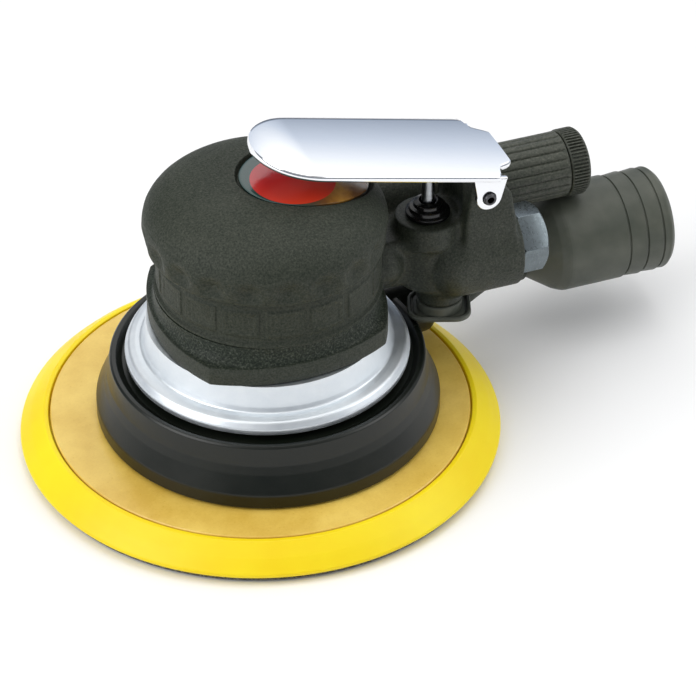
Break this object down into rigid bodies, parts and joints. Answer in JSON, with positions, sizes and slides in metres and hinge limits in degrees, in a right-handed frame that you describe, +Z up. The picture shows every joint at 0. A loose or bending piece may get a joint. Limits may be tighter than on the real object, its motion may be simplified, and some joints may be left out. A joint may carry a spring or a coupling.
{
  "type": "orbital sander",
  "caption": "Palm-held pneumatic random-orbital sander: round foam pad on an eccentric spindle, vane motor under a domed grip, chrome throttle lever, silencer and swivelling dust hose tail.",
  "frame": {"origin": "on the motor's vertical axis, in the plane of the sanding face", "axes": "+Z up from the sanding face, +X to the rear, where the air inlet and the hose tail point"},
  "size_m": [0.22, 0.15, 0.1067],
  "materials": {
    "grip_rubber": "matte charcoal rubber with a fine pebble grain",
    "housing_plastic": "charcoal composite with a fine spark-eroded texture",
    "black_rubber": "satin black moulded rubber",
    "aluminium": "satin turned aluminium, pale blue-grey",
    "chrome": "polished chrome plate",
    "steel": "machined steel",
    "brass": "machined brass",
    "foam_yellow": "moulded polyurethane foam with a smooth yellow skin",
    "plate_tan": "tan glass-fibre laminate, slightly translucent",
    "hook_grey": "fine moulded hook pile",
    "label_print": "dark green printed film with a red disc and an amber band",
    "felt_grey": "pressed wool felt",
    "vane_brown": "fabric-filled phenolic sheet"
  },
  "bodies": {
    "housing": {"motor_housing": "housing_plastic", "grip_cover": "grip_rubber", "label_plate": "label_print", "lock_ring": "aluminium", "shroud": "black_rubber", "cylinder_liner": "steel", "dowel_pin": "steel", "lower_end_plate": "aluminium", "upper_end_plate": "aluminium", "lower_bearing_outer": "steel", "upper_bearing_outer": "steel", "stem_guide": "black_rubber", "valve_seat": "black_rubber", "valve_spring": "steel", "inlet_bushing": "steel", "inlet_screen": "brass", "lever_pin": "steel", "silencer_body": "housing_plastic", "silencer_insert": "felt_grey", "silencer_cap": "housing_plastic", "vacuum_duct": "housing_plastic", "swivel_o_ring": "black_rubber", "swivel_ring": "steel"},
    "motor": {"eccentric_shaft": "steel", "rotor": "steel", "rotor_key": "steel", "vane_1": "vane_brown", "vane_2": "vane_brown", "vane_3": "vane_brown", "vane_4": "vane_brown", "vane_5": "vane_brown", "lower_bearing_inner": "steel", "upper_bearing_inner": "steel", "spindle_bearing_outer": "steel", "spindle_circlip": "steel"},
    "pad": {"hook_face": "hook_grey", "pad_foam": "foam_yellow", "pad_backing_plate": "plate_tan", "pad_stud": "steel", "spindle": "steel", "spindle_bearing_inner": "steel", "spindle_screw": "steel"},
    "lower_cage": {"lower_bearing_balls": "steel"},
    "upper_cage": {"upper_bearing_balls": "steel"},
    "spindle_cage": {"spindle_bearing_balls": "steel"},
    "lever": {"throttle_lever": "chrome"},
    "stem": {"valve_stem": "steel"},
    "regulator": {"speed_regulator": "housing_plastic"},
    "tail": {"hose_tail": "housing_plastic"}
  },
  "joints": [
    {"name": "motor_spin", "type": "hinge", "parent": "housing", "child": "motor", "pos_m": [0, 0, 0.049], "axis": [0, 0, 1], "continuous": true},
    {"name": "pad_spin", "type": "hinge", "parent": "motor", "child": "pad", "pos_m": [-0.00235, 0.00085, 0.0247], "axis": [0, 0, 1], "continuous": true},
    {"name": "lower_cage_spin", "type": "hinge", "parent": "housing", "child": "lower_cage", "pos_m": [0, 0, 0.0492], "axis": [0, 0, 1], "continuous": true},
    {"name": "upper_cage_spin", "type": "hinge", "parent": "housing", "child": "upper_cage", "pos_m": [0, 0, 0.0802], "axis": [0, 0, 1], "continuous": true},
    {"name": "spindle_cage_spin", "type": "hinge", "parent": "motor", "child": "spindle_cage", "pos_m": [-0.00235, 0.00085, 0.0247], "axis": [0, 0, 1], "continuous": true},
    {"name": "lever_press", "type": "hinge", "parent": "housing", "child": "lever", "pos_m": [0.0659, 0, 0.0808], "axis": [0, -1, 0], "range_deg": [0, 5], "stiffness_Nm_per_rad": 2, "springref_deg": -3.44},
    {"name": "stem_press", "type": "slide", "parent": "housing", "child": "stem", "axis": [0, 0, -1], "range_m": [0, 0.0014], "deforming": ["valve_spring"]},
    {"name": "regulator_turn", "type": "hinge", "parent": "housing", "child": "regulator", "pos_m": [0.057, 0, 0.034], "axis": [0, 0, 1], "range_deg": [-40, 40]},
    {"name": "hose_swivel", "type": "hinge", "parent": "housing", "child": "tail", "pos_m": [0.0985, 0.0239, 0.0296], "axis": [1, 0, 0], "continuous": true}
  ],
  "couplings": [
    {"joint": "lower_cage_spin", "follows": "motor_spin", "ratio": 0.4476},
    {"joint": "upper_cage_spin", "follows": "motor_spin", "ratio": 0.443},
    {"joint": "spindle_cage_spin", "follows": "pad_spin", "ratio": 0.4495},
    {"joint": "stem_press", "follows": "lever_press", "m_per_rad": 0.015}
  ]
}
